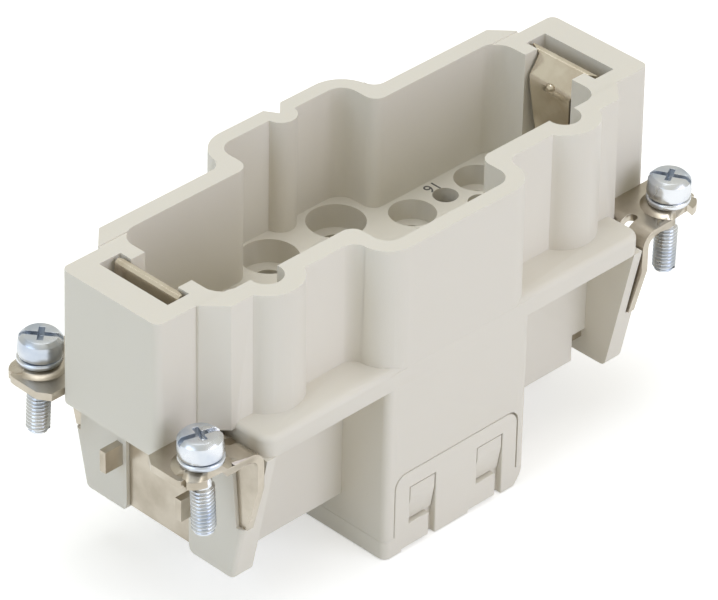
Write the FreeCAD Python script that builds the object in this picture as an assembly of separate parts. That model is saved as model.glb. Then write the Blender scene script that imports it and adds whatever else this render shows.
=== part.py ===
# Heavy duty connector insert with crimp contact cavities, captive fixing screws
# and protective earth springs. Millimetres, +Z towards the mating side. Heights are
# measured from the top face of the fixing brackets. The finished pieces are lifted so
# that the origin is the centre of the contact block's bottom face, midway between the
# four fixing screws.
import FreeCAD, Part
import math
import os

V = FreeCAD.Vector
os.makedirs("parts", exist_ok=True)

# Fixing screw pattern
SCREW_SPACING_X = 77.5
SCREW_SPACING_Y = 27.0

# Levels of the moulded body
RIM_Z = 16.8
RIM_STEP = 0.15
RIM_STEP_X = 28.6
RIM_STEP_Y = 8.2
CAVITY_FLOOR_Z = 1.35
FLANGE_TOP_Z = 0.8
FLANGE_BOTTOM_Z = -1.9
END_BLOCK_BOTTOM_Z = -1.5
SPINE_BOTTOM_Z = -20.0
BODY_BOTTOM_Z = -26.2

# Collar outline at the rim, half sizes
END_BLOCK_X = 40.2
END_BLOCK_Y = 7.95
END_BLOCK_R = 1.0
SHOULDER_X = 34.2
SHOULDER_Y = 8.3
WALL_X = 31.7
WALL_Y = 10.9
BULGE_X = 12.4
BULGE_Y = 16.15
BULGE_R = 3.8
BULGE_REAR_R = 4.6
BULGE_FOOT_R = 1.7
COLLAR_DRAFT = 0.2

# Cavity outline, half sizes
CAVITY_X = 31.1
CAVITY_Y = 8.5
CAVITY_R = 2.6
CAVITY_BULGE_X = 10.3
CAVITY_BULGE_Y = 14.1
CAVITY_BULGE_R = 2.2

# Guide bumps in the front wall and key groove in the back wall
BUMP_X = 24.35
BUMP_CENTRE_Y = 8.85
BUMP_OUTER_R = 4.5
BUMP_INNER_R = 2.1
KEY_X = 0.3
KEY_DEPTH = 1.9
KEY_STEEP_X = 1.2
KEY_SLOPE_X = 1.9
KEY_RIB_Y = 14.3
KEY_RIB_R = 2.05

# Flange, spine, contact block and end feet
FLANGE_X = 31.2
FLANGE_Y = 16.35
FLANGE_CORNER_R = 2.0
FLANGE_EDGE_R = 0.8
SPINE_Y = 9.0
BLOCK_X = 11.9
BLOCK_CORNER_R = 1.0
FOOT_OUTER_X = 33.0
FOOT_INNER_X = 29.8
FOOT_TOE_Y = 12.5
FOOT_TOE_R = 0.9
FOOT_EDGE_R = 0.7
FOOT_GAP_R = 1.5
FOOT_GAP_Y = 5.3
POCKET_Y = 12.3

# Contact cavities: wells from the floor, each with a narrower bore to the bottom
POWER_X = 5.55
POWER_Y = 10.0
POWER_WELL_R = 3.7
POWER_SHELF_DEPTH = 3.3
POWER_BORE_R = 2.1
SIDE_XS = (13.5, 24.7)
SIDE_Y = 5.0
SIDE_WELL_R = 2.95
SIDE_SHELF_DEPTH = 2.8
SIDE_BORE_R = 1.5
SIGNAL_PITCH_X = 2.1
SIGNAL_X = 19.15
SIGNAL_Y = 5.0
SIGNAL_INNER_Y = 1.1
SIGNAL_R = 1.6

# Contact retainer, the cap that snaps on the bottom of the contact block
CAP_THICK = 2.6
PANEL_X = 10.25
PANEL_TOP_Z = -15.0
PANEL_THICK = 0.9
PANEL_R = 1.8
PANEL_GAP = 0.18
WINDOW_PITCH = 11.3
WINDOW_WIDTH = 4.4
WINDOW_TOP_Z = -17.3
WINDOW_BOTTOM_Z = -22.6
SLIT_WIDTH = 1.1
TONGUE_WIDTH = 4.5
TONGUE_STEP = 0.35
WEDGE_SHY = 0.1
WEDGE_FLAT = 1.7
WEDGE_RAMP = 0.55
CAP_CHAMFER_X = 1.8
CAP_CHAMFER_Z = 2.3

# Earth spring slots and springs, folded from strip
SLOT_INNER_X = 33.2
SLOT_OUTER_X = 36.45
SLOT_Y = 5.65
SLOT_BOTTOM_Z = 4.0
THROAT_Y = 3.85
SPRING_THICK = 0.35
SPRING_LEG_X = 34.2
SPRING_LEG_Y = 5.2
SPRING_ROOF_Y = 3.5
SPRING_TONGUE_Y = 3.3
SPRING_TIP_Y = 2.5
SPRING_TOP_Z = 16.6
SPRING_NECK_X = 32.55
SPRING_BELLY_X = 31.35
SPRING_BELLY_Z = 13.4
SPRING_TOE_X = 32.5
SPRING_TOE_Z = 4.5
SPRING_BEND_R = 0.5
SPRING_BELLY_R = 2.2
SPRING_FOLD_RUN = 0.75
SPRING_FOLD_DROP = 0.9
SPRING_NECK_RISE = 1.4
DIMPLE_R = 0.7
DIMPLE_TOP_R = 0.3
DIMPLE_RISE = 0.3

# Fixing brackets, pressed from sheet
SHEET = 1.0
BRACKET_PLATE_X = 31.5
BEND_R = 1.2
LUG_X = 42.8
LUG_Y = 16.2
LUG_INNER_Y = 8.1
LUG_CORNER_R = 2.9
LUG_CUT_X = 1.0
LUG_CUT_Y = 1.5
LUG_HOLE_R = 1.25
BOSS_R = 3.9
BOSS_TOP_R = 3.0
BOSS_RISE = 0.6
RELIEF_NEAR_Y = 11.7
RELIEF_FAR_Y = 13.1
RELIEF_END_X = 34.2
RELIEF_DEPTH = 1.4
TAB_KNEE_Z = -5.4
TAB_INNER_Y = 13.2
TAB_BOTTOM_Z = -12.0
FLAP_BOTTOM_Z = -18.9
SHOULDER_BOTTOM_Z = -9.0
EAR_Y = 5.9
EAR_REACH = 3.2
EAR_TOP_Z = -10.2
EAR_BOTTOM_Z = -13.2
BARB_Y = 6.9
BARB_WIDTH = 1.6
BARB_TIP_X = 27.4
BARB_TOP_Z = -16.6
NOTCH_X = 27.6
NOTCH_TOP_Z = -16.2
NOTCH_DEPTH = 2.6

# Captive fixing screws and their lock washers
THREAD_R = 1.45
SHANK_R = 0.98
SCREW_TIP_Z = -9.2
THREAD_START_Z = -2.2
TIP_CHAMFER = 0.5
HEAD_R = 2.75
HEAD_HEIGHT = 2.6
HEAD_CHAMFER = 0.5
HEAD_TAPER = 0.12
SLOT_WIDTH = 0.7
SLOT_DEPTH = 0.8
CROSS_WIDTH = 0.75
CROSS_REACH = 1.35
CROSS_DEPTH = 1.2
WASHER_R = 2.75
WASHER_BORE_R = 1.6
WASHER_THICK = 1.0
WASHER_SPLIT_DEG = 12.0

# How far cutting tools reach past a face, and fused solids into one another
OVERCUT = 1.0
LAP = 0.5
EPS = 0.01


def offset_points(points, grow):
    """Move every side of a closed outline (x, y, corner radius) outwards by grow."""
    count = len(points)
    area = sum(points[i][0] * points[(i + 1) % count][1]
               - points[(i + 1) % count][0] * points[i][1] for i in range(count))
    side = 1.0 if area > 0 else -1.0
    moved = []
    for i in range(count):
        before, here, after = points[i - 1], points[i], points[(i + 1) % count]
        d1 = V(here[0] - before[0], here[1] - before[1], 0).normalize()
        d2 = V(after[0] - here[0], after[1] - here[1], 0).normalize()
        n1 = V(d1.y, -d1.x, 0) * side
        n2 = V(d2.y, -d2.x, 0) * side
        shift = (n1 + n2) * (grow / (1.0 + n1.dot(n2)))
        turn = (d1.x * d2.y - d1.y * d2.x) * side
        radius = here[2] + (grow if turn > 0 else -grow) if here[2] > 0 else 0.0
        moved.append((here[0] + shift.x, here[1] + shift.y, radius))
    return moved


def rounded_wire(points, z):
    """Closed wire at height z through the corners (x, y, radius), arcs at the corners."""
    count = len(points)
    starts, ends, middles = [], [], []
    for i in range(count):
        before, here, after = points[i - 1], points[i], points[(i + 1) % count]
        corner = V(here[0], here[1], z)
        if here[2] <= 0:
            starts.append(corner)
            ends.append(corner)
            middles.append(None)
            continue
        to_before = V(before[0] - here[0], before[1] - here[1], 0).normalize()
        to_after = V(after[0] - here[0], after[1] - here[1], 0).normalize()
        half = 0.5 * to_before.getAngle(to_after)
        reach = here[2] / math.tan(half)
        bisector = (to_before + to_after).normalize()
        starts.append(corner + to_before * reach)
        ends.append(corner + to_after * reach)
        middles.append(corner + bisector * (here[2] / math.sin(half) - here[2]))
    edges = []
    for i in range(count):
        if middles[i] is not None:
            edges.append(Part.Arc(starts[i], middles[i], ends[i]).toShape())
        following = starts[(i + 1) % count]
        if ends[i].distanceToPoint(following) > 1e-6:
            edges.append(Part.makeLine(ends[i], following))
    return Part.Wire(edges)


def prism(points, z_low, z_high):
    """Straight solid over a rounded outline."""
    face = Part.Face(rounded_wire(points, z_low))
    return face.extrude(V(0, 0, z_high - z_low))


def drafted(points, z_low, z_high, draft):
    """Solid that is wider by draft all round at its foot than at its top."""
    low = rounded_wire(offset_points(points, draft), z_low)
    high = rounded_wire(points, z_high)
    return Part.makeLoft([low, high], True, True)


def block(x0, x1, y0, y1, z0, z1):
    """Box between two corners given in any order."""
    low = V(min(x0, x1), min(y0, y1), min(z0, z1))
    return Part.makeBox(abs(x1 - x0), abs(y1 - y0), abs(z1 - z0), low)


def pin(x, y, radius, z0, z1):
    """Vertical cylinder."""
    return Part.makeCylinder(radius, z1 - z0, V(x, y, z0))


def mirrored_outline(quarter):
    """Full outline from its corners in the quarter x > 0, y > 0, listed from +X to +Y."""
    top = quarter + [(-x, y, r) for x, y, r in reversed(quarter)]
    return top + [(x, -y, r) for x, y, r in reversed(top)]


def mirror_x(shape):
    """The same piece for the other end."""
    return shape.mirror(V(0, 0, 0), V(1, 0, 0))


def mirror_y(shape):
    """The same piece for the other long side."""
    return shape.mirror(V(0, 0, 0), V(0, 1, 0))


def both_ends(shape):
    return [shape, mirror_x(shape)]


def both_sides(shape):
    return [shape, mirror_y(shape)]


def side_profile(points, y0, y1):
    """Extrude an outline in the XZ plane from y0 to y1."""
    wire = Part.makePolygon([V(x, y0, z) for x, z in points + points[:1]])
    return Part.Face(wire).extrude(V(0, y1 - y0, 0))


def end_profile(points, x0, x1):
    """Extrude an outline in the YZ plane from x0 to x1."""
    wire = Part.makePolygon([V(x0, y, z) for y, z in points + points[:1]])
    return Part.Face(wire).extrude(V(x1 - x0, 0, 0))


def end_prism(points, x0, x1):
    """Extrude a rounded outline (y, z, radius) from x0 to x1."""
    flat = prism(points, x0, x1)
    flat.rotate(V(0, 0, 0), V(1, 1, 1), 120)
    return flat


def collar_outline():
    corners = mirrored_outline([
        (END_BLOCK_X, END_BLOCK_Y, END_BLOCK_R),
        (SHOULDER_X, END_BLOCK_Y, 0.0),
        (SHOULDER_X, SHOULDER_Y, 0.0),
        (WALL_X, WALL_Y, 0.0),
        (BULGE_X, WALL_Y, BULGE_FOOT_R),
        (BULGE_X, BULGE_Y, BULGE_R),
    ])
    return [(x, y, BULGE_REAR_R if y == BULGE_Y else r) for x, y, r in corners]


def cavity_outline():
    return mirrored_outline([
        (CAVITY_X, CAVITY_Y, CAVITY_R),
        (CAVITY_BULGE_X, CAVITY_Y, BULGE_FOOT_R),
        (CAVITY_BULGE_X, CAVITY_BULGE_Y, CAVITY_BULGE_R),
    ])


def foot():
    """Wall across the end, leaning in to rounded toes, with room for the bracket."""
    low = SPINE_BOTTOM_Z
    wall = end_prism([(-FLANGE_Y, FLANGE_BOTTOM_Z, 0.0), (-FOOT_TOE_Y, low, FOOT_TOE_R),
                      (FOOT_TOE_Y, low, FOOT_TOE_R), (FLANGE_Y, FLANGE_BOTTOM_Z, 0.0)],
                     FOOT_INNER_X, FOOT_OUTER_X)
    leaning = [e for e in wall.Edges
               if abs(e.CenterOfMass.x - FOOT_OUTER_X) < EPS and e.BoundBox.ZLength > FOOT_TOE_Y]
    wall = wall.makeFillet(FOOT_EDGE_R, leaning)
    gap = block(BRACKET_PLATE_X + SHEET, FOOT_OUTER_X + OVERCUT, -FOOT_GAP_Y, FOOT_GAP_Y,
                low - OVERCUT, END_BLOCK_BOTTOM_Z)
    pocket = end_profile([(POCKET_Y, FLANGE_BOTTOM_Z + OVERCUT), (TAB_INNER_Y, TAB_BOTTOM_Z),
                          (FLANGE_Y + OVERCUT, TAB_BOTTOM_Z), (FLANGE_Y + OVERCUT, FLANGE_BOTTOM_Z + OVERCUT)],
                         FLANGE_X, FOOT_OUTER_X + OVERCUT)
    below = end_prism([(-FOOT_TOE_Y, low - OVERCUT, 0.0), (FOOT_TOE_Y, low - OVERCUT, 0.0),
                       (FOOT_TOE_Y, low, 0.0), (FOOT_GAP_Y, low, FOOT_GAP_R),
                       (FOOT_GAP_Y, FLAP_BOTTOM_Z + SHEET, 0.0),
                       (-FOOT_GAP_Y, FLAP_BOTTOM_Z + SHEET, 0.0),
                       (-FOOT_GAP_Y, low, FOOT_GAP_R), (-FOOT_TOE_Y, low, 0.0)],
                      FOOT_INNER_X, FOOT_OUTER_X + OVERCUT)
    return wall.cut(gap.fuse(both_sides(pocket) + [below]))


def wells():
    """Stepped bores of the contact cavities, to be cut from the body."""
    tools = []

    def stepped(x, y, well_r, depth, bore_r, bottom):
        shelf = CAVITY_FLOOR_Z - depth
        tools.append(pin(x, y, well_r, shelf, CAVITY_FLOOR_Z + OVERCUT))
        tools.append(pin(x, y, bore_r, bottom - OVERCUT, shelf + OVERCUT))

    def straight(x, y):
        tools.append(pin(x, y, SIGNAL_R, SPINE_BOTTOM_Z - OVERCUT, CAVITY_FLOOR_Z + OVERCUT))

    for sx in (-1, 1):
        for sy in (-1, 1):
            stepped(sx * POWER_X, sy * POWER_Y, POWER_WELL_R, POWER_SHELF_DEPTH,
                    POWER_BORE_R, BODY_BOTTOM_Z)
            for x in SIDE_XS:
                stepped(sx * x, sy * SIDE_Y, SIDE_WELL_R, SIDE_SHELF_DEPTH,
                        SIDE_BORE_R, SPINE_BOTTOM_Z)
            straight(sx * SIGNAL_X, sy * SIGNAL_Y)
        straight(sx * (SIGNAL_X + SIGNAL_PITCH_X), sx * SIGNAL_INNER_Y)
        straight(sx * (SIGNAL_X - SIGNAL_PITCH_X), -sx * SIGNAL_INNER_Y)
    return tools


def panel_outline(grow):
    """The retainer's side panel seen from the front, in XZ."""
    return [(-PANEL_X - grow, BODY_BOTTOM_Z, 0.0), (PANEL_X + grow, BODY_BOTTOM_Z, 0.0),
            (PANEL_X + grow, PANEL_TOP_Z + grow, PANEL_R), (-PANEL_X - grow, PANEL_TOP_Z + grow, PANEL_R)]


def panel(grow, thick):
    """Plate in the front face of the contact block, from the face inwards."""
    flat = prism(panel_outline(grow), 0, thick)
    flat.rotate(V(0, 0, 0), V(1, 0, 0), 90)
    flat.translate(V(0, -FLANGE_Y + thick, 0))
    return flat


def window_centres():
    return (-0.5 * WINDOW_PITCH, 0.5 * WINDOW_PITCH)


def retainer():
    """Cap under the contact block, with a latching panel on each long side."""
    half = [(BLOCK_X, FLANGE_Y, BLOCK_CORNER_R)]
    cap = prism(mirrored_outline(half), BODY_BOTTOM_Z, BODY_BOTTOM_Z + CAP_THICK)
    cuts = []
    for centre in window_centres():
        right = centre + 0.5 * WINDOW_WIDTH
        left = centre - 0.5 * WINDOW_WIDTH
        face = -FLANGE_Y
        cuts.append(block(left, right, face - OVERCUT, face + PANEL_THICK, WINDOW_BOTTOM_Z, WINDOW_TOP_Z))
        cuts.append(block(right - SLIT_WIDTH, right, face - OVERCUT, face + PANEL_THICK,
                          BODY_BOTTOM_Z - OVERCUT, WINDOW_TOP_Z))
        cuts.append(block(right - SLIT_WIDTH - TONGUE_WIDTH, right - SLIT_WIDTH,
                          face - OVERCUT, face + PANEL_THICK,
                          BODY_BOTTOM_Z - OVERCUT, BODY_BOTTOM_Z + TONGUE_STEP))
    front = panel(0.0, PANEL_THICK)
    shape = cap.fuse(both_sides(front))
    for cut in cuts:
        turned = cut.copy()
        turned.rotate(V(0, 0, 0), V(0, 0, 1), 180)
        shape = shape.cut(cut.fuse(turned))
    corner = side_profile([(BLOCK_X - CAP_CHAMFER_X, BODY_BOTTOM_Z - EPS),
                           (BLOCK_X + EPS, BODY_BOTTOM_Z - EPS),
                           (BLOCK_X + EPS, BODY_BOTTOM_Z + CAP_CHAMFER_Z)],
                          -FLANGE_Y - OVERCUT, FLANGE_Y + OVERCUT)
    holes = [pin(sx * POWER_X, sy * POWER_Y, POWER_BORE_R, BODY_BOTTOM_Z - OVERCUT, 0)
             for sx in (-1, 1) for sy in (-1, 1)]
    return shape.cut(holes[0].fuse(holes[1:] + [corner])).removeSplitter()


def wedge(centre):
    """Latch wedge of the body, seen in the retainer's window: flat, then ramped inwards."""
    left = centre - 0.5 * WINDOW_WIDTH + PANEL_GAP
    right = centre + 0.5 * WINDOW_WIDTH - PANEL_GAP
    front = -FLANGE_Y + WEDGE_SHY
    back = -FLANGE_Y + PANEL_THICK
    top = WINDOW_TOP_Z - PANEL_GAP
    low = WINDOW_BOTTOM_Z + PANEL_GAP
    return end_profile([(back + LAP, top), (front, top), (front, top - WEDGE_FLAT),
                        (front + WEDGE_RAMP, low), (back + LAP, low)], left, right)


def strip(line, half_width):
    """Bent strip along a line of (x, z, bend radius), between two sides in Y."""
    half = 0.5 * SPRING_THICK
    left, right = [], []
    for i, (x, z, bend) in enumerate(line):
        here = V(x, z, 0)
        ahead = V(line[i + 1][0], line[i + 1][1], 0) - here if i + 1 < len(line) else None
        behind = here - V(line[i - 1][0], line[i - 1][1], 0) if i else None
        d1 = (behind or ahead).normalize()
        d2 = (ahead or behind).normalize()
        n1 = V(-d1.y, d1.x, 0)
        n2 = V(-d2.y, d2.x, 0)
        shift = (n1 + n2) * (half / (1.0 + n1.dot(n2)))
        turn = half if d1.x * d2.y - d1.y * d2.x > 0 else -half
        left.append((x + shift.x, z + shift.y, bend - turn if bend else 0.0))
        right.append((x - shift.x, z - shift.y, bend + turn if bend else 0.0))
    flat = prism(left + right[::-1], 0, 2 * half_width)
    flat.rotate(V(0, 0, 0), V(1, 0, 0), 90)
    flat.translate(V(0, half_width, 0))
    return flat


def earth_spring():
    """Protective earth spring of the right end: leg in the slot, fold, sprung tongue."""
    half = 0.5 * SPRING_THICK
    leg_x = SPRING_LEG_X + half
    top = SPRING_TOP_Z - half
    corner_z = top - SPRING_FOLD_DROP
    neck = (SPRING_NECK_X, SPRING_BELLY_Z + SPRING_NECK_RISE, SPRING_BEND_R)
    belly = (SPRING_BELLY_X + half, SPRING_BELLY_Z, SPRING_BELLY_R)
    toe = (SPRING_TOE_X, SPRING_TOE_Z, 0.0)
    leg = strip([(leg_x, SLOT_BOTTOM_Z, 0.0), (leg_x, corner_z, 0.0)], SPRING_LEG_Y)
    blade = strip([(leg_x, corner_z - half, 0.0), (leg_x, top - half, SPRING_BEND_R),
                   (leg_x - SPRING_FOLD_RUN, top, SPRING_BEND_R), neck, belly, toe], SPRING_LEG_Y)
    wide_x, wide_y, roof_y = SPRING_LEG_X - SPRING_THICK, SPRING_LEG_Y, SPRING_ROOF_Y
    plan = prism([(SPRING_LEG_X + OVERCUT, wide_y, 0.0), (wide_x, wide_y, 0.0),
                  (SLOT_INNER_X, roof_y, 0.0), (CAVITY_X - OVERCUT, roof_y, 0.0),
                  (CAVITY_X - OVERCUT, -roof_y, 0.0), (SLOT_INNER_X, -roof_y, 0.0),
                  (wide_x, -wide_y, 0.0), (SPRING_LEG_X + OVERCUT, -wide_y, 0.0)],
                 0, RIM_Z + OVERCUT)
    outline = end_profile([(-SPRING_LEG_Y, RIM_Z), (-SPRING_LEG_Y, corner_z - SPRING_THICK),
                           (-SPRING_TONGUE_Y, SPRING_BELLY_Z), (-SPRING_TIP_Y, SPRING_TOE_Z - OVERCUT),
                           (SPRING_TIP_Y, SPRING_TOE_Z - OVERCUT), (SPRING_TONGUE_Y, SPRING_BELLY_Z),
                           (SPRING_LEG_Y, corner_z - SPRING_THICK), (SPRING_LEG_Y, RIM_Z)],
                          CAVITY_X - OVERCUT, SPRING_LEG_X + OVERCUT)
    dimple = Part.makeCone(DIMPLE_TOP_R, DIMPLE_R, DIMPLE_RISE + half,
                           V(SPRING_BELLY_X - DIMPLE_RISE, 0, SPRING_BELLY_Z), V(1, 0, 0))
    return leg.fuse([blade.common(plan).common(outline), dimple]).removeSplitter()


def bracket():
    """Fixing bracket of the right end: two lugs bent from an upright plate."""
    outer_r = BEND_R + SHEET
    x0, x1 = BRACKET_PLATE_X, BRACKET_PLATE_X + SHEET
    cos45 = math.cos(math.pi / 4)
    line = Part.makeLine
    low = SPINE_BOTTOM_Z
    edges = [
        line(V(x0, 0, low), V(x0, 0, -outer_r)),
        Part.Arc(V(x0, 0, -outer_r),
                 V(x0 + outer_r * (1 - cos45), 0, -outer_r * (1 - cos45)),
                 V(x0 + outer_r, 0, 0)).toShape(),
        line(V(x0 + outer_r, 0, 0), V(LUG_X, 0, 0)),
        line(V(LUG_X, 0, 0), V(LUG_X, 0, -SHEET)),
        line(V(LUG_X, 0, -SHEET), V(x0 + outer_r, 0, -SHEET)),
        Part.Arc(V(x0 + outer_r, 0, -SHEET),
                 V(x0 + outer_r - BEND_R * cos45, 0, -outer_r + BEND_R * cos45),
                 V(x1, 0, -outer_r)).toShape(),
        line(V(x1, 0, -outer_r), V(x1, 0, low)),
        line(V(x1, 0, low), V(x0, 0, low)),
    ]
    face = Part.Face(Part.Wire(edges))
    face.translate(V(0, -LUG_Y, 0))
    angle = face.extrude(V(0, 2 * LUG_Y, 0))

    upright = end_profile([
        (-LUG_Y, 1), (-LUG_Y, TAB_KNEE_Z), (-LUG_Y + tab_lean(), TAB_BOTTOM_Z),
        (-TAB_INNER_Y, TAB_BOTTOM_Z), (-POCKET_Y, SHOULDER_BOTTOM_Z),
        (-FOOT_GAP_Y, SHOULDER_BOTTOM_Z), (-FOOT_GAP_Y, FLAP_BOTTOM_Z),
        (FOOT_GAP_Y, FLAP_BOTTOM_Z), (FOOT_GAP_Y, SHOULDER_BOTTOM_Z),
        (POCKET_Y, SHOULDER_BOTTOM_Z), (TAB_INNER_Y, TAB_BOTTOM_Z),
        (LUG_Y - tab_lean(), TAB_BOTTOM_Z), (LUG_Y, TAB_KNEE_Z), (LUG_Y, 1)], x0 - OVERCUT, LUG_X + OVERCUT)
    lug = [(x0 - OVERCUT, LUG_INNER_Y, 0), (LUG_X - LUG_CUT_X, LUG_INNER_Y, 0),
           (LUG_X, LUG_INNER_Y + LUG_CUT_Y, 0), (LUG_X, LUG_Y, LUG_CORNER_R), (x0 - OVERCUT, LUG_Y, 0)]
    plan = prism(lug, SPINE_BOTTOM_Z - OVERCUT, 1)
    web = block(x0 - OVERCUT, x1 + BEND_R, -LUG_INNER_Y, LUG_INNER_Y, SPINE_BOTTOM_Z - OVERCUT, 1)
    shape = angle.common(upright).common(web.fuse(both_sides(plan)))

    relief_r = 0.5 * (RELIEF_FAR_Y - RELIEF_NEAR_Y)
    relief = block(x0 - OVERCUT, RELIEF_END_X - relief_r, RELIEF_NEAR_Y, RELIEF_FAR_Y,
                   -RELIEF_DEPTH, OVERCUT)
    relief_end = pin(RELIEF_END_X - relief_r, RELIEF_NEAR_Y + relief_r, relief_r,
                     -RELIEF_DEPTH, OVERCUT)
    sx, sy = 0.5 * SCREW_SPACING_X, 0.5 * SCREW_SPACING_Y
    boss = Part.makeCone(BOSS_R, BOSS_TOP_R, BOSS_RISE, V(sx, sy, 0))
    dish = Part.makeCone(BOSS_R, BOSS_TOP_R, BOSS_RISE, V(sx, sy, -SHEET))
    hole = pin(sx, sy, LUG_HOLE_R, -SHEET - OVERCUT, BOSS_RISE + OVERCUT)
    boss_limit = prism(lug, -SHEET, BOSS_RISE)
    ear = block(x1 - 0.5 * SHEET, x1 + EAR_REACH, EAR_Y, EAR_Y + SHEET, EAR_BOTTOM_Z, EAR_TOP_Z)
    ear_arm = block(x0, x1, FOOT_GAP_Y - LAP, EAR_Y + SHEET, EAR_BOTTOM_Z, EAR_TOP_Z)
    barb = block(BARB_TIP_X, x0 + 0.5 * SHEET, BARB_Y, BARB_Y + BARB_WIDTH,
                 BARB_TOP_Z - SHEET, BARB_TOP_Z)
    barb_arm = block(x0, x1, FOOT_GAP_Y - LAP, BARB_Y + BARB_WIDTH,
                     BARB_TOP_Z - SHEET, BARB_TOP_Z)
    added = []
    removed = []
    for one in (boss.common(boss_limit), ear, ear_arm, barb, barb_arm):
        added += both_sides(one)
    for one in (relief, relief_end, dish, hole):
        removed += both_sides(one)
    shape = shape.fuse(added)
    return shape.cut(removed[0].fuse(removed[1:])).removeSplitter()


def tab_lean():
    """How far the tab's free edge leans in from the knee to its bottom."""
    slope = (FLANGE_Y - FOOT_TOE_Y) / (TAB_KNEE_Z - SPINE_BOTTOM_Z)
    return slope * (TAB_KNEE_Z - TAB_BOTTOM_Z)


def fixing_screw():
    """Captive screw about the Z axis, with its head on the washer above the boss."""
    seat = BOSS_RISE + WASHER_THICK
    top = seat + HEAD_HEIGHT
    outline = [V(0, 0, SCREW_TIP_Z), V(THREAD_R - TIP_CHAMFER, 0, SCREW_TIP_Z),
               V(THREAD_R, 0, SCREW_TIP_Z + TIP_CHAMFER), V(THREAD_R, 0, THREAD_START_Z),
               V(SHANK_R, 0, THREAD_START_Z + THREAD_R - SHANK_R), V(SHANK_R, 0, seat),
               V(HEAD_R - HEAD_TAPER, 0, seat), V(HEAD_R, 0, seat + HEAD_CHAMFER),
               V(HEAD_R - HEAD_TAPER, 0, top - HEAD_CHAMFER),
               V(HEAD_R - HEAD_TAPER - HEAD_CHAMFER, 0, top), V(0, 0, top)]
    profile = Part.Face(Part.makePolygon(outline + outline[:1]))
    screw = profile.revolve(V(0, 0, 0), V(0, 0, 1), 360)
    slot = block(-HEAD_R - OVERCUT, HEAD_R + OVERCUT, -0.5 * SLOT_WIDTH, 0.5 * SLOT_WIDTH,
                 top - SLOT_DEPTH, top + OVERCUT)
    cross = block(-0.5 * CROSS_WIDTH, 0.5 * CROSS_WIDTH, -CROSS_REACH, CROSS_REACH,
                  top - CROSS_DEPTH, top + OVERCUT)
    core = block(-CROSS_REACH, CROSS_REACH, -0.5 * CROSS_WIDTH, 0.5 * CROSS_WIDTH,
                 top - CROSS_DEPTH, top + OVERCUT)
    return screw.cut(slot.fuse([cross, core]))


def lock_washer():
    """Split spring washer about the Z axis, lying on the boss."""
    section = Part.makePolygon([V(WASHER_BORE_R, 0, BOSS_RISE), V(WASHER_R, 0, BOSS_RISE),
                                V(WASHER_R, 0, BOSS_RISE + WASHER_THICK),
                                V(WASHER_BORE_R, 0, BOSS_RISE + WASHER_THICK),
                                V(WASHER_BORE_R, 0, BOSS_RISE)])
    return Part.Face(section).revolve(V(0, 0, 0), V(0, 0, 1), 360 - WASHER_SPLIT_DEG)


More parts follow.
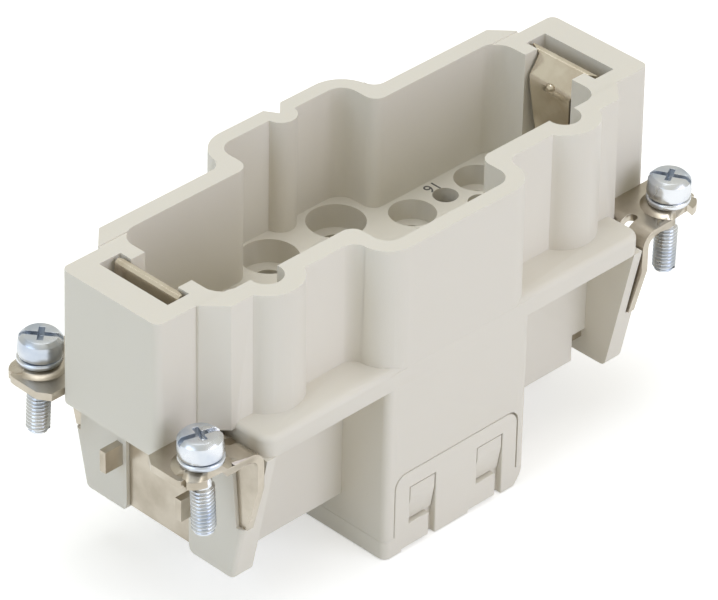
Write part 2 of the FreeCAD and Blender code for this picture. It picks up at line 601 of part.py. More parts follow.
def insert_body(right_bracket, retainer_pockets):
    """The moulded body: collar, flange, contact block, spine and feet in one piece."""
    solids = [drafted(collar_outline(), 0.0, RIM_Z, COLLAR_DRAFT)]
    for sign in (-1, 1):
        solids.append(Part.makeCone(BUMP_OUTER_R + COLLAR_DRAFT, BUMP_OUTER_R, RIM_Z,
                                    V(sign * BUMP_X, -BUMP_CENTRE_Y, 0.0)))
    plate = prism(mirrored_outline([(FLANGE_X, FLANGE_Y, FLANGE_CORNER_R)]),
                  FLANGE_BOTTOM_Z, FLANGE_TOP_Z)
    upper = [e for e in plate.Edges
             if abs(e.BoundBox.ZMin - FLANGE_TOP_Z) < EPS and abs(e.BoundBox.ZMax - FLANGE_TOP_Z) < EPS]
    solids.append(plate.makeFillet(FLANGE_EDGE_R, upper))
    end_x, end_y = END_BLOCK_X + COLLAR_DRAFT, END_BLOCK_Y + COLLAR_DRAFT
    end_r = END_BLOCK_R + COLLAR_DRAFT
    lower_block = prism([(CAVITY_X, -end_y, 0.0), (end_x, -end_y, end_r),
                         (end_x, end_y, end_r), (CAVITY_X, end_y, 0.0)], END_BLOCK_BOTTOM_Z, 0.0)
    solids += both_ends(lower_block)
    solids.append(block(-FOOT_INNER_X, FOOT_INNER_X, -SPINE_Y, SPINE_Y,
                        SPINE_BOTTOM_Z, FLANGE_TOP_Z - LAP))
    solids.append(prism(mirrored_outline([(BLOCK_X, FLANGE_Y, BLOCK_CORNER_R)]),
                        BODY_BOTTOM_Z + CAP_THICK, FLANGE_TOP_Z - LAP))
    solids += both_ends(foot())
    body = solids[0].fuse(solids[1:])

    cuts = [prism(cavity_outline(), CAVITY_FLOOR_Z, RIM_Z + OVERCUT)]
    for sign in (-1, 1):
        cuts.append(pin(sign * BUMP_X, -BUMP_CENTRE_Y, BUMP_INNER_R, CAVITY_FLOOR_Z, RIM_Z + OVERCUT))
    hollow = cuts[0].fuse(cuts[1:])
    rib = pin(KEY_X, KEY_RIB_Y, KEY_RIB_R, CAVITY_FLOOR_Z - LAP, RIM_Z)
    body = body.cut(hollow.cut(rib))
    mouth = BULGE_Y + COLLAR_DRAFT
    groove = prism([(KEY_X - KEY_STEEP_X, mouth + OVERCUT, 0.0), (KEY_X - KEY_STEEP_X, mouth, 0.0),
                    (KEY_X, mouth - KEY_DEPTH, 0.0), (KEY_X + KEY_SLOPE_X, mouth, 0.0),
                    (KEY_X + KEY_SLOPE_X, mouth + OVERCUT, 0.0)], FLANGE_TOP_Z, RIM_Z + OVERCUT)
    removed = [groove]
    slot = block(SLOT_INNER_X, SLOT_OUTER_X, -SLOT_Y, SLOT_Y, SLOT_BOTTOM_Z, RIM_Z + OVERCUT)
    throat = block(CAVITY_X - OVERCUT, SLOT_INNER_X + LAP, -THROAT_Y, THROAT_Y,
                   CAVITY_FLOOR_Z, RIM_Z + OVERCUT)
    step = block(RIM_STEP_X, END_BLOCK_X + OVERCUT, -RIM_STEP_Y, RIM_STEP_Y,
                 RIM_Z - RIM_STEP, RIM_Z + OVERCUT)
    notch = block(NOTCH_X, FOOT_INNER_X, SPINE_Y - NOTCH_DEPTH, SPINE_Y + OVERCUT,
                  SPINE_BOTTOM_Z - OVERCUT, NOTCH_TOP_Z)
    for one in (slot, throat, step, right_bracket):
        removed += both_ends(one)
    for one in both_sides(notch):
        removed += both_ends(one)
    removed += wells()
    removed += retainer_pockets
    body = body.cut(removed)
    wedges = []
    for centre in window_centres():
        one = wedge(centre)
        other = one.copy()
        other.rotate(V(0, 0, 0), V(0, 0, 1), 180)
        wedges += [one, other]
    return body.fuse(wedges).removeSplitter()


def export(name, shape):
    """Write one piece, lifted to the part's own origin, after making sure that it is sound."""
    if not shape.isValid():
        raise ValueError(name + " is not a valid shape")
    lifted = shape.copy()
    lifted.translate(V(0, 0, -BODY_BOTTOM_Z))
    lifted.exportStep("parts/" + name + ".step")
    print(name, "solids", len(lifted.Solids), "volume", round(lifted.Volume, 2))


right_bracket = bracket()
pockets = both_sides(panel(PANEL_GAP, PANEL_THICK))
export("insert_body", insert_body(right_bracket, pockets))
export("contact_retainer", retainer())
for end, turned in (("right", lambda shape: shape), ("left", mirror_x)):
    export("fixing_bracket_" + end, turned(right_bracket))
    export("earth_spring_" + end, turned(earth_spring()))
for x_name, x_sign in (("left", -1), ("right", 1)):
    for y_name, y_sign in (("front", -1), ("rear", 1)):
        corner = V(x_sign * 0.5 * SCREW_SPACING_X, y_sign * 0.5 * SCREW_SPACING_Y, 0)
        for name, shape in (("fixing_screw_", fixing_screw()), ("lock_washer_", lock_washer())):
            shape.translate(corner)
            export(name + x_name + "_" + y_name, shape)
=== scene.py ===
import math

import bmesh
import bpy
from mathutils import Matrix, Vector


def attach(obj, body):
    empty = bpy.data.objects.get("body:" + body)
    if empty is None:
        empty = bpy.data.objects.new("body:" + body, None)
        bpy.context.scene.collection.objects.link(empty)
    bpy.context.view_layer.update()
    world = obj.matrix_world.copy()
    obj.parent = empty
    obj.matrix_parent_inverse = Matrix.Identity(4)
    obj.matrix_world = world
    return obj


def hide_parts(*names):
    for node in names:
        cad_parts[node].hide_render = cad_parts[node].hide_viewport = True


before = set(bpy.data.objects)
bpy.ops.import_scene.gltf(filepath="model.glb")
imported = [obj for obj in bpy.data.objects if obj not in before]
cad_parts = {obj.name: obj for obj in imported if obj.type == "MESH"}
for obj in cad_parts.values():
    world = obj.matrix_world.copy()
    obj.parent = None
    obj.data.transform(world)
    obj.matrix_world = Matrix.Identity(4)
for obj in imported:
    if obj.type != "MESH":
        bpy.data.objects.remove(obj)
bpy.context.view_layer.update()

MM = 0.001


# The view. The insert was photographed with a long lens from its front left corner,
# looking down on the open collar, with the camera turned a little to one side. The
# offset runs to the right, down and away, from the eye to the middle at the lugs' height.
VIEW_AZIMUTH = -45.439
VIEW_ELEVATION = 34.27
VIEW_ROLL = 1.176
VIEW_FOCAL_PX = 5036.0
FRAME_WIDTH_PX = 718.0
SENSOR_WIDTH = 36.0
VIEW_OFFSET = Vector((0.34, -2.098, 593.98)) * MM
VIEW_NEAR = 0.01
VIEW_FAR = 10.0
LUG_TOP = 26.2 * MM

azimuth, elevation = math.radians(VIEW_AZIMUTH), math.radians(VIEW_ELEVATION)
forward = Vector((-math.sin(azimuth) * math.cos(elevation),
                  math.cos(azimuth) * math.cos(elevation), -math.sin(elevation)))
level_right = forward.cross(Vector((0, 0, 1))).normalized()
level_down = forward.cross(level_right)
roll = math.radians(VIEW_ROLL)
right = math.cos(roll) * level_right - math.sin(roll) * level_down
down = math.sin(roll) * level_right + math.cos(roll) * level_down
eye = -(VIEW_OFFSET.x * right + VIEW_OFFSET.y * down + VIEW_OFFSET.z * forward)
eye.z += LUG_TOP


def in_scene(name, data):
    """New object that is linked into the scene."""
    thing = bpy.data.objects.new(name, data)
    bpy.context.scene.collection.objects.link(thing)
    return thing


camera_data = bpy.data.cameras.new("camera")
camera_data.sensor_width = SENSOR_WIDTH
camera_data.lens = VIEW_FOCAL_PX * SENSOR_WIDTH / FRAME_WIDTH_PX
camera_data.clip_start = VIEW_NEAR
camera_data.clip_end = VIEW_FAR
camera = in_scene("camera", camera_data)
camera.matrix_world = Matrix.Translation(eye) @ Matrix((right, -down, -forward)).transposed().to_4x4()
bpy.context.scene.camera = camera
bpy.context.scene.view_settings.view_transform = "Standard"


# The stage. A pale floor under the insert that looks white to the camera and keeps
# the soft shadow, a plain sky, and three large soft lamps as in a product studio.
FLOOR_SIZE = 3.0
FLOOR_DROP = 0.1 * MM
FLOOR_COLOUR = (0.86, 0.86, 0.85)
FLOOR_ROUGHNESS = 0.9
FLOOR_SHEEN = 0.1
FLOOR_GLOW = 0.45
SKY_TINT = (1.0, 0.97, 0.78)
SKY_STRENGTH = 0.36
SKY_GLOW = 0.36
LAMP_AIM = Vector((0, 0, 0.02))


def feed(tree, value, socket):
    """Sets an input to a plain value, or links another node's output to it."""
    if isinstance(value, bpy.types.NodeSocket):
        tree.links.new(value, socket)
    else:
        socket.default_value = value


def worked_out(tree, operation, *terms, clamped=False):
    """Result of a Math node on plain values and other nodes' outputs."""
    node = tree.nodes.new("ShaderNodeMath")
    node.operation = operation
    node.use_clamp = clamped
    for term, socket in zip(terms, node.inputs):
        feed(tree, term, socket)
    return node.outputs[0]


def white_to_camera(tree, shaded, strength):
    """Adds light that only the camera and shiny or clear surfaces see."""
    rays = tree.nodes.new("ShaderNodeLightPath").outputs
    seen = worked_out(tree, "ADD", rays["Is Camera Ray"], rays["Is Glossy Ray"], clamped=True)
    through = worked_out(tree, "ADD", seen, rays["Is Transmission Ray"], clamped=True)
    glow = tree.nodes.new("ShaderNodeEmission")
    glow.inputs["Color"].default_value = (1.0, 1.0, 1.0, 1.0)
    feed(tree, worked_out(tree, "MULTIPLY", through, strength), glow.inputs["Strength"])
    both = tree.nodes.new("ShaderNodeAddShader")
    feed(tree, shaded, both.inputs[0])
    feed(tree, glow.outputs[0], both.inputs[1])
    return both.outputs[0]


def mesh_of(form, name):
    """Mesh with the shape of a bmesh, which is used up."""
    mesh = bpy.data.meshes.new(name)
    form.to_mesh(mesh)
    form.free()
    return mesh


floor_form = bmesh.new()
bmesh.ops.create_grid(floor_form, x_segments=1, y_segments=1, size=FLOOR_SIZE)
bmesh.ops.translate(floor_form, verts=floor_form.verts, vec=(0, 0, -FLOOR_DROP))
floor_material = bpy.data.materials.new("pale floor")
floor_material.use_nodes = True
floor_tree = floor_material.node_tree
floor_paint = floor_tree.nodes["Principled BSDF"]
floor_paint.inputs["Base Color"].default_value = (*FLOOR_COLOUR, 1.0)
floor_paint.inputs["Roughness"].default_value = FLOOR_ROUGHNESS
floor_paint.inputs["Specular IOR Level"].default_value = FLOOR_SHEEN
floor_look = white_to_camera(floor_tree, floor_paint.outputs["BSDF"], FLOOR_GLOW)
feed(floor_tree, floor_look, floor_tree.nodes["Material Output"].inputs["Surface"])
floor = in_scene("floor", mesh_of(floor_form, "floor"))
floor.data.materials.append(floor_material)

world = bpy.data.worlds.new("studio")
world.use_nodes = True
bpy.context.scene.world = world
sky = world.node_tree.nodes["Background"]
sky.inputs["Color"].default_value = (*SKY_TINT, 1.0)
sky.inputs["Strength"].default_value = SKY_STRENGTH
sky_look = white_to_camera(world.node_tree, sky.outputs[0], SKY_GLOW)
feed(world.node_tree, sky_look, world.node_tree.nodes["World Output"].inputs["Surface"])


def soft_lamp(name, place, size, power, tint):
    """A square soft box that looks at the insert."""
    box = bpy.data.lights.new(name, "AREA")
    box.shape = "SQUARE"
    box.size = size
    box.energy = power
    box.color = tint
    lamp = in_scene(name, box)
    lamp.location = place
    lamp.rotation_euler = (LAMP_AIM - Vector(place)).to_track_quat("-Z", "Y").to_euler()


soft_lamp("front", place=(0.20, -0.74, 0.30), size=0.55, power=2.85, tint=(0.80, 0.82, 1.0))
soft_lamp("left", place=(-0.75, 0.06, 0.35), size=0.55, power=2.1, tint=(0.66, 0.79, 1.0))
soft_lamp("top", place=(0.05, 0.10, 0.85), size=0.60, power=3.4, tint=(0.93, 0.96, 1.0))


# Moulded body. One injection moulded piece of light pebble grey polycarbonate, with a
# fine even spark-eroded texture, softly broken edges and faint flow shading.
PLASTIC_COLOUR = (0.76, 0.72, 0.64)
PLASTIC_ROUGHNESS = 0.5
PLASTIC_IOR = 1.5
PLASTIC_SHEEN = 0.4
GRAIN_SCALE = 7000.0
GRAIN_DETAIL = 2.0
GRAIN_BUMP = 0.35
GRAIN_DEPTH = 0.03 * MM
CLOUD_SCALE = 45.0
CLOUD_DETAIL = 3.0
CLOUD_TINT = 0.06
CLOUD_ROUGHNESS = 0.25
GLOW_SHARE = 0.12
GLOW_RADIUS = (1.0, 0.9, 0.7)
GLOW_DEPTH = 0.6 * MM
BODY_EDGE_ROUND = 0.22 * MM
SHARP_ANGLE = math.radians(32)
MERGE_DISTANCE = 0.002 * MM
FLAT_ANGLE = math.radians(0.3)


def surface_group(name, inputs):
    """Shader group that puts out colour, roughness and height, with its inputs and outputs."""
    group = bpy.data.node_groups.new(name, "ShaderNodeTree")
    for label, kind, value in inputs:
        socket = group.interface.new_socket(name=label, in_out="INPUT", socket_type=kind)
        socket.default_value = value
    for label, kind in (("Colour", "NodeSocketColor"), ("Roughness", "NodeSocketFloat"),
                        ("Height", "NodeSocketFloat")):
        group.interface.new_socket(name=label, in_out="OUTPUT", socket_type=kind)
    given = group.nodes.new("NodeGroupInput").outputs
    result = group.nodes.new("NodeGroupOutput").inputs
    return group, given, result


def noise(tree, vector, scale, detail):
    """Noise pattern on the given coordinates."""
    pattern = tree.nodes.new("ShaderNodeTexNoise")
    feed(tree, vector, pattern.inputs["Vector"])
    feed(tree, scale, pattern.inputs["Scale"])
    feed(tree, detail, pattern.inputs["Detail"])
    return pattern.outputs["Fac"]


def mould_group():
    """Faint clouds in the colour and the roughness, and the grain's height."""
    group, given, result = surface_group("moulded grain", [
        ("Colour", "NodeSocketColor", (0.6, 0.6, 0.6, 1.0)),
        ("Grain Scale", "NodeSocketFloat", 9000.0),
        ("Cloud Scale", "NodeSocketFloat", 60.0),
        ("Cloud", "NodeSocketFloat", 0.05),
        ("Roughness", "NodeSocketFloat", 0.5)])
    place = group.nodes.new("ShaderNodeTexCoord").outputs["Object"]
    cloud = worked_out(group, "SUBTRACT", noise(group, place, given["Cloud Scale"], CLOUD_DETAIL), 0.5)
    tinted = group.nodes.new("ShaderNodeVectorMath")
    tinted.operation = "SCALE"
    feed(group, given["Colour"], tinted.inputs[0])
    feed(group, worked_out(group, "MULTIPLY_ADD", cloud, given["Cloud"], 1.0), tinted.inputs["Scale"])
    matt = worked_out(group, "MULTIPLY_ADD", cloud, CLOUD_ROUGHNESS, given["Roughness"])
    feed(group, tinted.outputs[0], result["Colour"])
    feed(group, matt, result["Roughness"])
    feed(group, noise(group, place, given["Grain Scale"], GRAIN_DETAIL), result["Height"])
    return group


def surface_material(name, group, values, metallic, bump, depth):
    """Principled material fed by one of the surface groups."""
    material = bpy.data.materials.new(name)
    material.use_nodes = True
    tree = material.node_tree
    paint = tree.nodes["Principled BSDF"]
    paint.inputs["Metallic"].default_value = metallic
    surface = tree.nodes.new("ShaderNodeGroup")
    surface.node_tree = group
    for label, value in values.items():
        surface.inputs[label].default_value = value
    relief = tree.nodes.new("ShaderNodeBump")
    relief.inputs["Strength"].default_value = bump
    relief.inputs["Distance"].default_value = depth
    feed(tree, surface.outputs["Height"], relief.inputs["Height"])
    feed(tree, surface.outputs["Colour"], paint.inputs["Base Color"])
    feed(tree, surface.outputs["Roughness"], paint.inputs["Roughness"])
    feed(tree, relief.outputs["Normal"], paint.inputs["Normal"])
    return material


moulded_grain = mould_group()


def plastic_material(name, colour, roughness):
    """Light grey moulded polycarbonate, which light enters a little."""
    material = surface_material(
        name, moulded_grain,
        {"Colour": (*colour, 1.0), "Grain Scale": GRAIN_SCALE, "Cloud Scale": CLOUD_SCALE,
         "Cloud": CLOUD_TINT, "Roughness": roughness},
        metallic=0.0, bump=GRAIN_BUMP, depth=GRAIN_DEPTH)
    paint = material.node_tree.nodes["Principled BSDF"]
    paint.inputs["IOR"].default_value = PLASTIC_IOR
    paint.inputs["Specular IOR Level"].default_value = PLASTIC_SHEEN
    paint.inputs["Subsurface Weight"].default_value = GLOW_SHARE
    paint.inputs["Subsurface Radius"].default_value = GLOW_RADIUS
    paint.inputs["Subsurface Scale"].default_value = GLOW_DEPTH
    return material


def merged_form(node):
    """Copy of a CAD node's mesh with its loose triangles joined."""
    form = bmesh.new()
    form.from_mesh(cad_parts[node].data)
    bmesh.ops.remove_doubles(form, verts=form.verts, dist=MERGE_DISTANCE)
    return form


def join_flat_faces(form):
    """Makes one face of the triangles that lie in one plane."""
    bmesh.ops.dissolve_limit(form, angle_limit=FLAT_ANGLE, verts=form.verts,
                             edges=form.edges, use_dissolve_boundaries=False)


def smooth_piece(name, mesh, material, sharp_angle):
    """Piece with smooth round faces and crisp corners, fixed to the insert."""
    mesh.materials.append(material)
    mesh.shade_smooth()
    mesh.set_sharp_from_angle(angle=sharp_angle)
    piece = in_scene(name, mesh)
    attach(piece, "root")
    return piece


def break_edges(piece, width, sharp_angle):
    """Takes the sharpness off a piece's corners."""
    rounding = piece.modifiers.new("broken edges", "BEVEL")
    rounding.limit_method = "ANGLE"
    rounding.angle_limit = sharp_angle
    rounding.width = width
    rounding.segments = 2


def finished_piece(node, name, material):
    """Copy of a CAD node in its material, standing in for the node."""
    form = merged_form(node)
    join_flat_faces(form)
    piece = smooth_piece(name, mesh_of(form, name), material, SHARP_ANGLE)
    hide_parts(node)
    return piece


body_plastic = plastic_material("pebble grey moulding", PLASTIC_COLOUR, PLASTIC_ROUGHNESS)
body = finished_piece("insert_body", "moulded_body", body_plastic)
break_edges(body, BODY_EDGE_ROUND, SHARP_ANGLE)


# Contact retainer. A separate moulded cap under the contact block, of the same plastic,
# snapped on with two windows in each of its side panels.
RETAINER_COLOUR = (0.765, 0.725, 0.645)
RETAINER_ROUGHNESS = 0.47
RETAINER_EDGE_ROUND = 0.12 * MM
retainer_plastic = plastic_material("pebble grey cap moulding", RETAINER_COLOUR, RETAINER_ROUGHNESS)
retainer = finished_piece("contact_retainer", "retainer_cap", retainer_plastic)
break_edges(retainer, RETAINER_EDGE_ROUND, SHARP_ANGLE)


# Contact number. One contact position is printed in dark grey on the cavity floor,
# to be read from the back of the insert.
NUMBER_HEIGHT = 2.3 * MM
NUMBER_PLACE = Vector((19.2, 7.35, 27.56)) * MM
INK_DARK = (0.05, 0.05, 0.05, 1.0)
INK_WORN = (0.16, 0.15, 0.14, 1.0)
INK_WEAR_SCALE = 2500.0
INK_WEAR_DETAIL = 2.0
INK_ROUGHNESS = 0.6
INK_THICKNESS = 0.01 * MM


def mixed(tree, share, first, second):
    """Colour between two others, by the share of the second."""
    mix = tree.nodes.new("ShaderNodeMix")
    mix.data_type = "RGBA"
    feed(tree, share, mix.inputs["Factor"])
    feed(tree, first, mix.inputs["A"])
    feed(tree, second, mix.inputs["B"])
    return mix.outputs["Result"]


ink = bpy.data.materials.new("marking ink")
ink.use_nodes = True
ink_tree = ink.node_tree
ink_paint = ink_tree.nodes["Principled BSDF"]
ink_place = ink_tree.nodes.new("ShaderNodeTexCoord").outputs["Object"]
ink_wear = noise(ink_tree, ink_place, INK_WEAR_SCALE, INK_WEAR_DETAIL)
feed(ink_tree, mixed(ink_tree, ink_wear, INK_DARK, INK_WORN), ink_paint.inputs["Base Color"])
ink_paint.inputs["Roughness"].default_value = INK_ROUGHNESS


def printed_number(words, place, height, name):
    """Flat printed figures, turned half round, as a thin mesh on the floor."""
    text = bpy.data.curves.new(name, "FONT")
    text.body = words
    text.size = height
    text.align_x = "CENTER"
    text.align_y = "CENTER"
    text.extrude = INK_THICKNESS
    typed = in_scene(name + "_text", text)
    bpy.context.view_layer.update()
    mesh = bpy.data.meshes.new_from_object(typed)
    bpy.data.objects.remove(typed)
    mesh.transform(Matrix.Translation(place) @ Matrix.Rotation(math.pi, 4, "Z"))
    mesh.materials.clear()
    mesh.materials.append(ink)
    printed = in_scene(name, mesh)
    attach(printed, "root")


printed_number("16", NUMBER_PLACE, NUMBER_HEIGHT, "contact_number")


# Fixing brackets. Pressed from 1 mm steel sheet and nickel plated, so they show the sheet's rolled
# lines and a warm grey shine. The screws' places and the seat that the washers sit on are given here
# too.
SCREW_X = 38.75 * MM
SCREW_Y = 13.5 * MM
SCREW_SPOTS = {(side, end): Vector((x, y, 0))
               for side, x in (("left", -SCREW_X), ("right", SCREW_X))
               for end, y in (("front", -SCREW_Y), ("rear", SCREW_Y))}
NICKEL_COLOUR = (0.56, 0.51, 0.43)
NICKEL_STAIN = (0.36, 0.31, 0.24)
NICKEL_STAIN_AMOUNT = 0.6
NICKEL_LINES = 3500.0
NICKEL_ROUGHNESS = 0.20
NICKEL_BUMP = 0.25
LINE_DEPTH = 0.01 * MM
LINE_DETAIL = 3.0
LINE_STRETCH = 0.06
STAIN_SCALE = 220.0
STAIN_DETAIL = 4.0
STAIN_START = 0.42
STAIN_FULL = 0.68
STAIN_ROUGHNESS = 0.22
SHEET = 1.0 * MM
SHEET_EDGE_ROUND = 0.12 * MM
SEAT_RISE = 0.6 * MM
SEAT_FOOT_R = 2.7 * MM
SEAT_TOP_R = 2.4 * MM
SEAT_FROM_R = 2.0 * MM
SEAT_REACH = 3.95 * MM
SEAT_RIM = 0.1 * MM
LEVEL_SLACK = 0.01 * MM


def metal_group():
    """Stains in the colour and the roughness, and the height of lines drawn along Y."""
    group, given, result = surface_group("rolled metal", [
        ("Colour", "NodeSocketColor", (0.6, 0.6, 0.6, 1.0)),
        ("Stain", "NodeSocketColor", (0.4, 0.36, 0.28, 1.0)),
        ("Stain Amount", "NodeSocketFloat", 0.3),
        ("Line Scale", "NodeSocketFloat", 3000.0),
        ("Roughness", "NodeSocketFloat", 0.3)])
    place = group.nodes.new("ShaderNodeTexCoord").outputs["Object"]
    patches = noise(group, place, STAIN_SCALE, STAIN_DETAIL)
    spread = group.nodes.new("ShaderNodeMapRange")
    spread.inputs["From Min"].default_value = STAIN_START
    spread.inputs["From Max"].default_value = STAIN_FULL
    feed(group, patches, spread.inputs["Value"])
    amount = worked_out(group, "MULTIPLY", spread.outputs["Result"], given["Stain Amount"])
    drawn = group.nodes.new("ShaderNodeMapping")
    drawn.inputs["Scale"].default_value = (1.0, LINE_STRETCH, 1.0)
    feed(group, place, drawn.inputs["Vector"])
    lines = noise(group, drawn.outputs["Vector"], given["Line Scale"], LINE_DETAIL)
    worn = worked_out(group, "MULTIPLY_ADD", patches, STAIN_ROUGHNESS, given["Roughness"])
    feed(group, mixed(group, amount, given["Colour"], given["Stain"]), result["Colour"])
    feed(group, worn, result["Roughness"])
    feed(group, lines, result["Height"])
    return group


rolled_metal = metal_group()


def metal_material(name, colour, stain, stain_amount, line_scale, roughness, bump, depth):
    """Plated metal with rolled or turned lines and stains."""
    return surface_material(
        name, rolled_metal,
        {"Colour": (*colour, 1.0), "Stain": (*stain, 1.0), "Stain Amount": stain_amount,
         "Line Scale": line_scale, "Roughness": roughness},
        metallic=1.0, bump=bump, depth=depth)


def tighten_seat(mesh, spot):
    """Draw the raised screw seat in under its washer, so that the lug's edges stay straight."""
    for vertex in mesh.vertices:
        away = Vector((vertex.co.x - spot.x, vertex.co.y - spot.y))
        if away.length < SEAT_FROM_R or away.length > SEAT_REACH:
            continue
        for level in (LUG_TOP, LUG_TOP - SHEET):
            rise = vertex.co.z - level
            if not -LEVEL_SLACK < rise < SEAT_RISE + LEVEL_SLACK:
                continue
            on_slope = LEVEL_SLACK < rise < SEAT_RISE - LEVEL_SLACK
            on_seat = rise > LEVEL_SLACK
            if on_slope:
                vertex.co.z = level
            elif on_seat or away.length > SEAT_REACH - SEAT_RIM:
                away *= (SEAT_TOP_R if on_seat else SEAT_FOOT_R) / away.length
                vertex.co.x, vertex.co.y = spot.x + away.x, spot.y + away.y


nickel = metal_material("nickel plated sheet", NICKEL_COLOUR, NICKEL_STAIN, NICKEL_STAIN_AMOUNT,
                        NICKEL_LINES, NICKEL_ROUGHNESS, NICKEL_BUMP, LINE_DEPTH)
for side in ("left", "right"):
    bracket = finished_piece("fixing_bracket_" + side, "bracket_" + side, nickel)
    break_edges(bracket, SHEET_EDGE_ROUND, SHARP_ANGLE)
    for end in ("front", "rear"):
        tighten_seat(bracket.data, SCREW_SPOTS[side, end])


# Earth springs. Folded from thin bright spring strip, one in the slot at each end of
# the collar, with a sprung tongue and a contact dimple that reach into the cavity.
SPRING_COLOUR = (0.74, 0.68, 0.57)
SPRING_STAIN = (0.46, 0.37, 0.26)
SPRING_STAIN_AMOUNT = 0.6
SPRING_LINES = 5000.0
SPRING_ROUGHNESS = 0.10
SPRING_BUMP = 0.15
spring_metal = metal_material("spring strip", SPRING_COLOUR, SPRING_STAIN, SPRING_STAIN_AMOUNT,
                              SPRING_LINES, SPRING_ROUGHNESS, SPRING_BUMP, LINE_DEPTH)
for side in ("left", "right"):
    spring = finished_piece("earth_spring_" + side, "spring_" + side, spring_metal)


# Fixing screws. Bright zinc plated steel with a turned cheese head, a slot and cross
# recess, a relieved neck and a rolled thread that ends in a small chamfer. They hang
# loose in the lugs, each turned and leaning its own way.
THREAD_R = 1.45 * MM
THREAD_ROOT_R = 1.18 * MM
THREAD_PITCH = 0.5 * MM
THREAD_PROFILE = ((THREAD_ROOT_R, 0.0), (THREAD_R, 0.42), (THREAD_R, 0.58), (THREAD_ROOT_R, 1.0))
THREAD_TOP = 24.0 * MM
THREAD_BOTTOM = 17.05 * MM
THREAD_STEPS = 28
THREAD_MERGE = 0.003 * MM
NECK_Z = 24.47 * MM
NECK_R = 0.98 * MM
TIP_Z = 17.0 * MM
TIP_R = 0.95 * MM
CHAMFER_Z = 17.3 * MM
CHAMFER_R = 1.28 * MM
PIVOT_Z = 26.3 * MM
HEAD_LIFT = 0.08 * MM
HEAD_EDGE_ROUND = 0.1 * MM
HEAD_SHARP_ANGLE = math.radians(28)
SCREW_TURN = {("left", "front"): -18, ("left", "rear"): -48,
              ("right", "front"): -62, ("right", "rear"): 25}
SCREW_LEAN = {("left", "front"): -2.0, ("left", "rear"): 2.6,
              ("right", "front"): 0.6, ("right", "rear"): 1.2}
ZINC_COLOUR = (0.74, 0.76, 0.79)
ZINC_STAIN = (0.40, 0.47, 0.58)
ZINC_STAIN_AMOUNT = 0.7
ZINC_LINES = 2500.0
ZINC_ROUGHNESS = 0.17
ZINC_BUMP = 0.3
ZINC_DEPTH = 0.02 * MM
zinc = metal_material("bright zinc plate", ZINC_COLOUR, ZINC_STAIN, ZINC_STAIN_AMOUNT,
                      ZINC_LINES, ZINC_ROUGHNESS, ZINC_BUMP, ZINC_DEPTH)


def thread_form():
    """Rolled thread round the Z axis: a ridge profile swept round and down, on its core."""
    form = bmesh.new()
    turns = int((THREAD_TOP - THREAD_BOTTOM) / THREAD_PITCH) - 1
    corners = [form.verts.new((r, 0, THREAD_BOTTOM + share * THREAD_PITCH))
               for r, share in THREAD_PROFILE]
    edges = [form.edges.new(pair) for pair in zip(corners, corners[1:])]
    bmesh.ops.spin(form, geom=corners + edges, cent=(0, 0, 0), axis=(0, 0, 1),
                   dvec=(0, 0, THREAD_PITCH / THREAD_STEPS), angle=turns * math.tau,
                   steps=turns * THREAD_STEPS, use_merge=False)
    bmesh.ops.remove_doubles(form, verts=form.verts, dist=THREAD_MERGE)
    for low, high, r_low, r_high in ((TIP_Z, THREAD_TOP, THREAD_ROOT_R, THREAD_ROOT_R),
                                     (THREAD_TOP, NECK_Z, THREAD_ROOT_R, NECK_R),
                                     (TIP_Z, CHAMFER_Z, TIP_R, CHAMFER_R)):
        bmesh.ops.create_cone(form, cap_ends=True, segments=THREAD_STEPS, radius1=r_low,
                              radius2=r_high, depth=high - low,
                              matrix=Matrix.Translation((0, 0, 0.5 * (low + high))))
    return form


def head_form(node):
    """The head and the top of the neck, cut off the CAD screw."""
    form = merged_form(node)
    bmesh.ops.bisect_plane(form, geom=form.verts[:] + form.edges[:] + form.faces[:],
                           plane_co=(0, 0, NECK_Z), plane_no=(0, 0, 1), clear_inner=True)
    join_flat_faces(form)
    return form


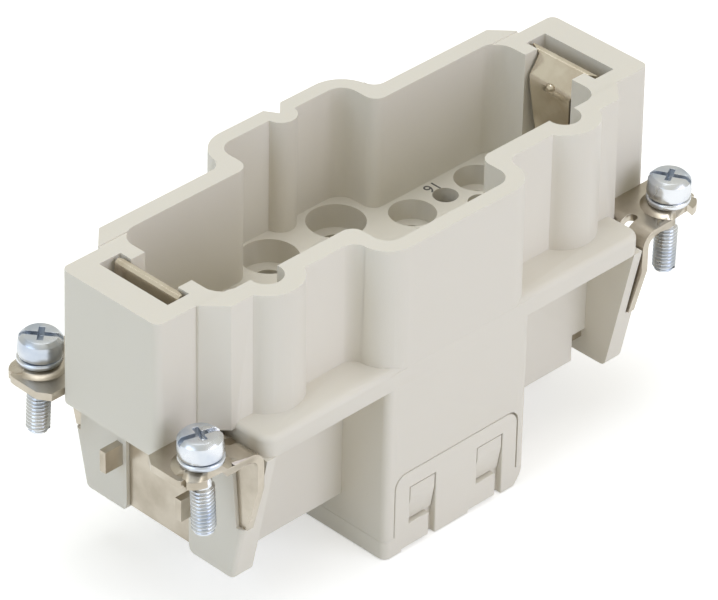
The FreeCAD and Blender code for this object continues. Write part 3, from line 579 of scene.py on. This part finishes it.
for (side, end), spot in SCREW_SPOTS.items():
    node = "fixing_screw_%s_%s" % (side, end)
    thread = thread_form()
    bmesh.ops.translate(thread, verts=thread.verts, vec=spot)
    pivot = Matrix.Translation((spot.x, spot.y, PIVOT_Z))
    lean = Matrix.Rotation(math.radians(SCREW_LEAN[side, end]), 4, Vector((1, 1, 0)).normalized())
    turn = Matrix.Rotation(math.radians(SCREW_TURN[side, end]), 4, "Z")
    set_in_hole = Matrix.Translation((0, 0, HEAD_LIFT)) @ pivot @ lean @ turn @ pivot.inverted()
    for form, label in ((head_form(node), "screw_head"), (thread, "screw_thread")):
        name = "%s_%s_%s" % (label, side, end)
        mesh = mesh_of(form, name)
        mesh.transform(set_in_hole)
        piece = smooth_piece(name, mesh, zinc, SHARP_ANGLE)
        if label == "screw_head":
            break_edges(piece, HEAD_EDGE_ROUND, HEAD_SHARP_ANGLE)
            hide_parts(node)


# Lock washers. Split spring washers of flat bar, bright zinc plated like the screws,
# not flattened by the loose screws, so that each still climbs like a coil round its split.
WASHER_BORE = 1.6 * MM
WASHER_RADIUS = 2.75 * MM
WASHER_BAR = 0.7 * MM
WASHER_CLIMB = 0.3 * MM
WASHER_FOOT = LUG_TOP + SEAT_RISE
WASHER_TURN = math.radians(348)
WASHER_STEPS = 72
WASHER_SHARP_ANGLE = math.radians(50)
BAR_EDGE = 0.12 * MM


def coil_washer():
    """Flat bar with broken edges, swept round the Z axis while it climbs."""
    form = bmesh.new()
    inner, outer, low, high = WASHER_BORE, WASHER_RADIUS, WASHER_FOOT, WASHER_FOOT + WASHER_BAR
    bar = [(inner + BAR_EDGE, low), (outer - BAR_EDGE, low), (outer, low + BAR_EDGE),
           (outer, high - BAR_EDGE), (outer - BAR_EDGE, high), (inner + BAR_EDGE, high),
           (inner, high - BAR_EDGE), (inner, low + BAR_EDGE)]
    corners = [form.verts.new((r, 0, z)) for r, z in bar]
    end_face = form.faces.new(corners)
    bmesh.ops.spin(form, geom=[end_face], cent=(0, 0, 0), axis=(0, 0, 1),
                   dvec=(0, 0, WASHER_CLIMB / WASHER_STEPS), angle=WASHER_TURN,
                   steps=WASHER_STEPS, use_merge=False)
    bmesh.ops.recalc_face_normals(form, faces=form.faces)
    return form


for (side, end), spot in SCREW_SPOTS.items():
    form = coil_washer()
    bmesh.ops.translate(form, verts=form.verts, vec=spot)
    name = "washer_%s_%s" % (side, end)
    washer = smooth_piece(name, mesh_of(form, name), zinc, WASHER_SHARP_ANGLE)
    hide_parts("lock_washer_%s_%s" % (side, end))
